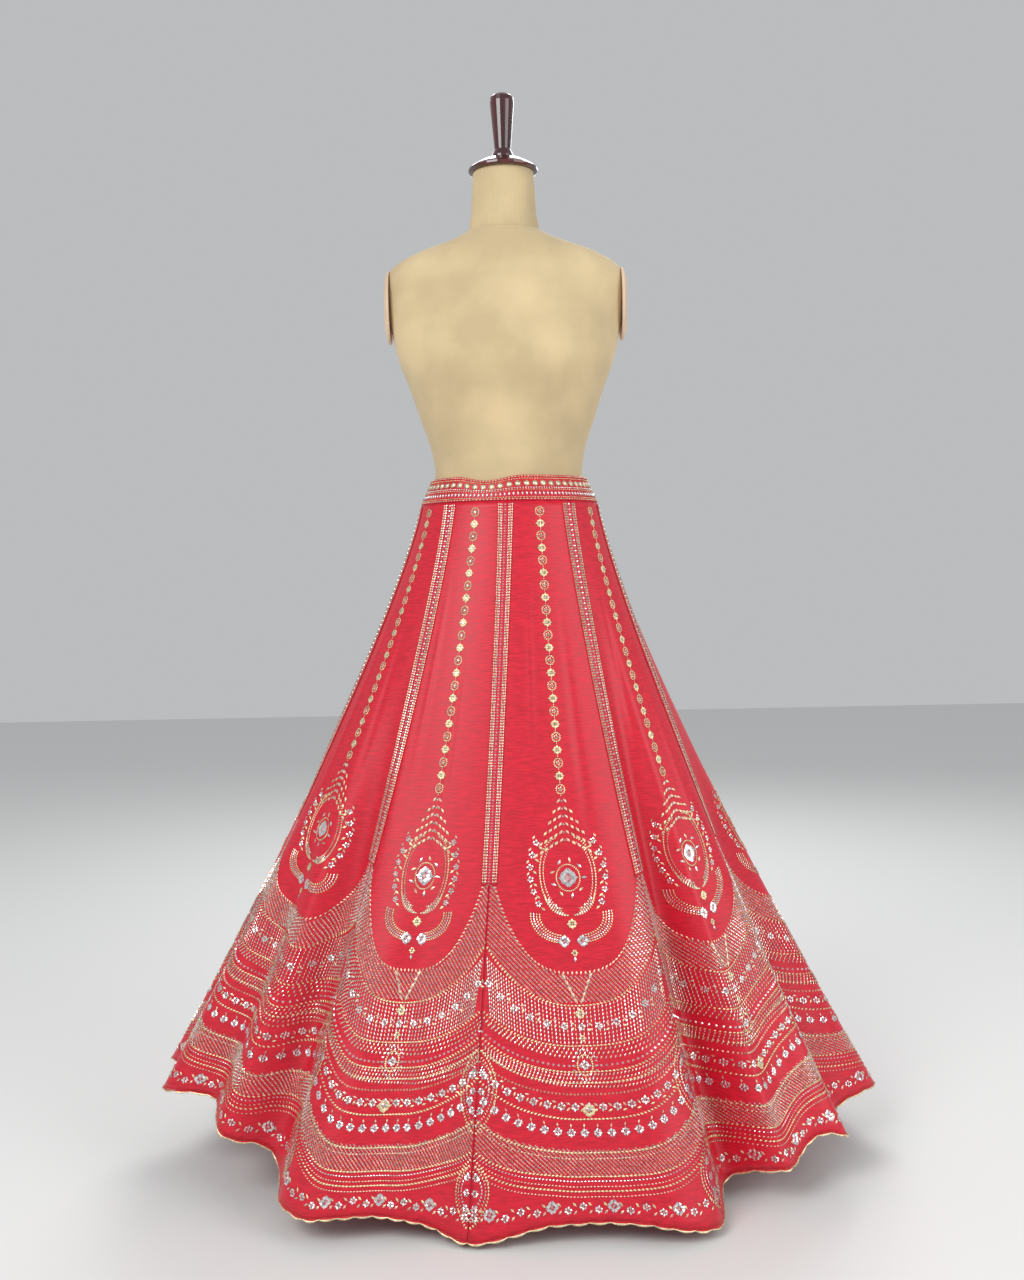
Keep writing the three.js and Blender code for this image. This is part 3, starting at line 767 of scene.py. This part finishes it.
def build_waistband():
    turns = (np.arange(WAISTBAND_COLUMNS) * 2 * np.pi / WAISTBAND_COLUMNS)[None, :]
    rise = np.linspace(1, 0, 9)[:, None]
    face = waistband_point(turns, rise, WAISTBAND_FACE)
    back = waistband_point(turns, rise, WAISTBAND_BACK)
    points, quads = wall(face, back, True)
    band = mesh_piece("waistband_cloth", points, quads, FINISHES["stitch"][:1])
    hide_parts("waistband")
    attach(band, BODY)
    points, faces, colours = [], [], []
    total = 0
    for rise, pitch, size, unit, colour in WAISTBAND_ROWS:
        count = round(BEAD_ROW_LENGTH / pitch)
        turn = np.arange(count) * 2 * np.pi / count
        centre = waistband_point(turn, rise, 0.001)
        along = waistband_point(turn + 0.01, rise, 0.001) - centre
        along /= np.linalg.norm(along, axis=1, keepdims=True)
        up = waistband_point(turn, rise + 0.1, 0.001) - centre
        up /= np.linalg.norm(up, axis=1, keepdims=True)
        out = np.cross(along, up)
        shape, sides = UNITS[unit]
        local = shape * np.array(size)
        grid = (centre[:, None] + local[None, :, 0:1] * along[:, None] + local[None, :, 1:2] * up[:, None]
                + local[None, :, 2:3] * out[:, None])
        points.append(grid.reshape(-1, 3))
        faces.append((sides[None] + (np.arange(count) * len(shape) + total)[:, None, None]).reshape(-1, 3))
        colours.append(np.full(count * len(sides), colour))
        total += count * len(shape)
    beads = mesh_piece("waistband_beads", np.concatenate(points), np.concatenate(faces),
                       FINISHES["stitch"], np.concatenate(colours))
    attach(beads, BODY)


def build_torso():
    """The canvas torso, smooth between its sections, closed above and below."""
    key = np.linspace(0, 1, len(TORSO_SECTIONS))
    fine = np.linspace(0, 1, 105)
    sections = np.stack([np.interp(fine, key, TORSO_SECTIONS[:, column]) for column in range(4)], 1)
    kernel = np.array([1, 2, 3, 2, 1]) / 9
    for column in (1, 2, 3):
        padded = np.pad(sections[:, column], 2, mode="edge")
        sections[:, column] = np.convolve(padded, kernel, mode="valid")
    turn = (np.arange(128) * 2 * np.pi / 128)[None, :]
    height, width, front, back = (sections[:, column][:, None] for column in range(4))
    x = np.clip(width * np.sin(turn), -ARM_FACE, ARM_FACE)
    depth = np.where(np.cos(turn) > 0, front, back)
    rise = np.exp(-((height - BUST_HEIGHT) / BUST_REACH[1]) ** 2)
    mounds = sum(np.exp(-((x - middle) / BUST_REACH[0]) ** 2) for middle in (-BUST_APART, BUST_APART))
    out = BUST_OUT * rise * mounds * np.sqrt(np.maximum(np.cos(turn), 0))
    grid = np.stack([x, -depth * np.cos(turn) - out, height + 0 * x], -1)
    rows, columns = grid.shape[:2]
    centres = [grid[0].mean(0), grid[-1].mean(0)]
    points = np.concatenate([grid.reshape(-1, 3), centres])
    faces = []
    low = rows * columns
    for column in range(columns):
        after = (column + 1) % columns
        start = np.arange(rows - 1) * columns
        faces.append(np.stack([start + column, start + after, start + columns + after], 1))
        faces.append(np.stack([start + column, start + columns + after, start + columns + column], 1))
        top = (rows - 1) * columns
        faces.append(np.array([[low, after, column], [low + 1, top + column, top + after]]))
    torso = mesh_piece("torso_canvas", points, np.concatenate(faces), [FINISHES["canvas"]])
    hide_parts("form_torso")
    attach(torso, BODY)


def finish_form():
    """New finishes for the solids of the form that keep their shape."""
    looks = {"form_neck": "canvas", "form_arm_plate_left": "shoulder", "form_arm_plate_right": "shoulder",
             "form_neck_cap": "wood", "form_handle": "wood", "stand_pole": "iron", "stand_foot": "iron"}
    for node, look in looks.items():
        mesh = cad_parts[node].data
        mesh.materials.clear()
        mesh.materials.append(FINISHES[look])


FLOOR_SIZE = 14
FLOOR_HEIGHT = -0.0005
SENSOR_HEIGHT = 36
CAMERA_PITCH = 2.63
CAMERA_ROLL = -1.1
LIGHTS_AIM = (0, 0, 0.8)

# name, place in metres, power in watts, size in metres
LIGHTS = (
    ("key", (-1.6, -2.4, 2.6), 60, 1.6),
    ("fill", (2.2, -1.8, 1.6), 32, 1.8),
    ("back", (0.4, 2.4, 2.6), 40, 1.6))


def build_stage(settings):
    bpy.ops.object.select_all(action="DESELECT")
    bpy.ops.mesh.primitive_plane_add(size=FLOOR_SIZE, location=(0, 0, FLOOR_HEIGHT))
    floor = bpy.context.object
    floor.name = "floor"
    material, _, _ = finish("pale_floor", (0.78, 0.78, 0.77), 0.7)
    floor.data.materials.append(material)
    for name, place, power, size in LIGHTS:
        lamp = bpy.data.lights.new(name, "AREA")
        lamp.energy = power
        lamp.size = size
        holder = bpy.data.objects.new(name, lamp)
        bpy.context.scene.collection.objects.link(holder)
        away = Vector(place) - Vector(LIGHTS_AIM)
        holder.matrix_world = Matrix.Translation(place) @ away.to_track_quat("Z", "Y").to_matrix().to_4x4()
    world = bpy.data.worlds.new("studio")
    world.use_nodes = True
    world.node_tree.nodes["Background"].inputs["Color"].default_value = (0.9, 0.92, 0.94, 1)
    world.node_tree.nodes["Background"].inputs["Strength"].default_value = 0.55
    bpy.context.scene.world = world
    bpy.context.scene.view_settings.view_transform = "Standard"
    lens = bpy.data.cameras.new("camera")
    lens.sensor_fit = "VERTICAL"
    lens.sensor_height = SENSOR_HEIGHT
    lens.lens = settings.camera_lens
    camera = bpy.data.objects.new("camera", lens)
    bpy.context.scene.collection.objects.link(camera)
    tilt = Matrix.Rotation(math.radians(90 - CAMERA_PITCH), 4, "X")
    roll = Matrix.Rotation(math.radians(CAMERA_ROLL), 4, "Z")
    stand = Matrix.Translation((0, -settings.camera_distance, settings.camera_height))
    camera.matrix_world = stand @ tilt @ roll
    bpy.context.scene.camera = camera


# ---------------------------------------------------------------- add-on

class LehengaSettings(bpy.types.PropertyGroup):
    """Colours of the skirt and the place of its camera."""
    silk_colour: FloatVectorProperty(name="Silk", description="Colour of the raw silk", subtype="COLOR",
                                     size=3, min=0, max=1, default=(0.62, 0.002, 0.022))
    zari_colour: FloatVectorProperty(name="Zari", description="Colour of the metal thread", subtype="COLOR",
                                     size=3, min=0, max=1, default=(0.84, 0.56, 0.42))
    cord_colour: FloatVectorProperty(name="Cord", description="Colour of the cord lines", subtype="COLOR",
                                     size=3, min=0, max=1, default=(0.86, 0.72, 0.44))
    camera_distance: FloatProperty(name="Camera distance", description="From the camera to the form's axis",
                                   unit="LENGTH", default=2.14)
    camera_height: FloatProperty(name="Camera height", description="Of the camera above the floor",
                                 unit="LENGTH", default=0.932)
    camera_lens: FloatProperty(name="Lens", default=36.7,
                               description="Focal length for a 36 mm high sensor, in millimetres")


class LEHENGA_OT_finishes(bpy.types.Operator):
    """Make the finishes and the unit beads"""
    bl_idname = "lehenga.finishes"
    bl_label = "Finishes"

    def execute(self, context):
        make_finishes(context.scene.lehenga)
        make_units()
        return {"FINISHED"}


class LEHENGA_OT_kalis(bpy.types.Operator):
    """Make the eight flared silk panels"""
    bl_idname = "lehenga.kalis"
    bl_label = "Kalis"

    def execute(self, context):
        for number in range(8):
            build_kali(number)
        return {"FINISHED"}


class LEHENGA_OT_seam_bands(bpy.types.Operator):
    """Make the embroidered band over each seam"""
    bl_idname = "lehenga.seam_bands"
    bl_label = "Seam bands"

    def execute(self, context):
        for number in range(8):
            build_seam_band(number)
        return {"FINISHED"}


class LEHENGA_OT_medallions(bpy.types.Operator):
    """Stitch the row of medallions down each panel"""
    bl_idname = "lehenga.medallions"
    bl_label = "Medallions"

    def execute(self, context):
        for number in range(8):
            build_medallions(number)
        return {"FINISHED"}


class LEHENGA_OT_butas(bpy.types.Operator):
    """Stitch the large flower motif on each panel"""
    bl_idname = "lehenga.butas"
    bl_label = "Butas"

    def execute(self, context):
        for number in range(8):
            build_buta(number)
        return {"FINISHED"}


class LEHENGA_OT_border(bpy.types.Operator):
    """Stitch the arched border on each panel"""
    bl_idname = "lehenga.border"
    bl_label = "Border"

    def execute(self, context):
        for number in range(8):
            build_border(number)
        return {"FINISHED"}


class LEHENGA_OT_hem(bpy.types.Operator):
    """Make the corded scallops of the hem"""
    bl_idname = "lehenga.hem"
    bl_label = "Hem"

    def execute(self, context):
        build_hem()
        return {"FINISHED"}


class LEHENGA_OT_waistband(bpy.types.Operator):
    """Make the waistband and its beads"""
    bl_idname = "lehenga.waistband"
    bl_label = "Waistband"

    def execute(self, context):
        build_waistband()
        return {"FINISHED"}


class LEHENGA_OT_form(bpy.types.Operator):
    """Make the canvas torso and finish the rest of the form"""
    bl_idname = "lehenga.form"
    bl_label = "Dress form"

    def execute(self, context):
        build_torso()
        finish_form()
        return {"FINISHED"}


class LEHENGA_OT_stage(bpy.types.Operator):
    """Set the floor, lights and camera"""
    bl_idname = "lehenga.stage"
    bl_label = "Stage"

    def execute(self, context):
        build_stage(context.scene.lehenga)
        return {"FINISHED"}


STEPS = (LEHENGA_OT_finishes, LEHENGA_OT_form, LEHENGA_OT_waistband, LEHENGA_OT_kalis, LEHENGA_OT_seam_bands,
         LEHENGA_OT_medallions, LEHENGA_OT_butas, LEHENGA_OT_border, LEHENGA_OT_hem, LEHENGA_OT_stage)


class LEHENGA_PT_sidebar(bpy.types.Panel):
    """Lists the skirt's pieces in the sidebar"""
    bl_label = "Lehenga"
    bl_space_type = "VIEW_3D"
    bl_region_type = "UI"
    bl_category = "Lehenga"

    def draw(self, context):
        settings = context.scene.lehenga
        for name in LehengaSettings.__annotations__:
            self.layout.prop(settings, name)
        for step in STEPS:
            self.layout.operator(step.bl_idname)


CLASSES = (LehengaSettings, *STEPS, LEHENGA_PT_sidebar)


def register():
    for item in CLASSES:
        bpy.utils.register_class(item)
    bpy.types.Scene.lehenga = PointerProperty(type=LehengaSettings)


def unregister():
    del bpy.types.Scene.lehenga
    for item in reversed(CLASSES):
        bpy.utils.unregister_class(item)


def main():
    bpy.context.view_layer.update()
    register()
    bpy.ops.lehenga.finishes()
    bpy.ops.lehenga.form()
    bpy.ops.lehenga.waistband()
    bpy.ops.lehenga.kalis()
    bpy.ops.lehenga.seam_bands()
    bpy.ops.lehenga.medallions()
    bpy.ops.lehenga.butas()
    bpy.ops.lehenga.border()
    bpy.ops.lehenga.hem()
    bpy.ops.lehenga.stage()


if __name__ == "__main__":
    main()
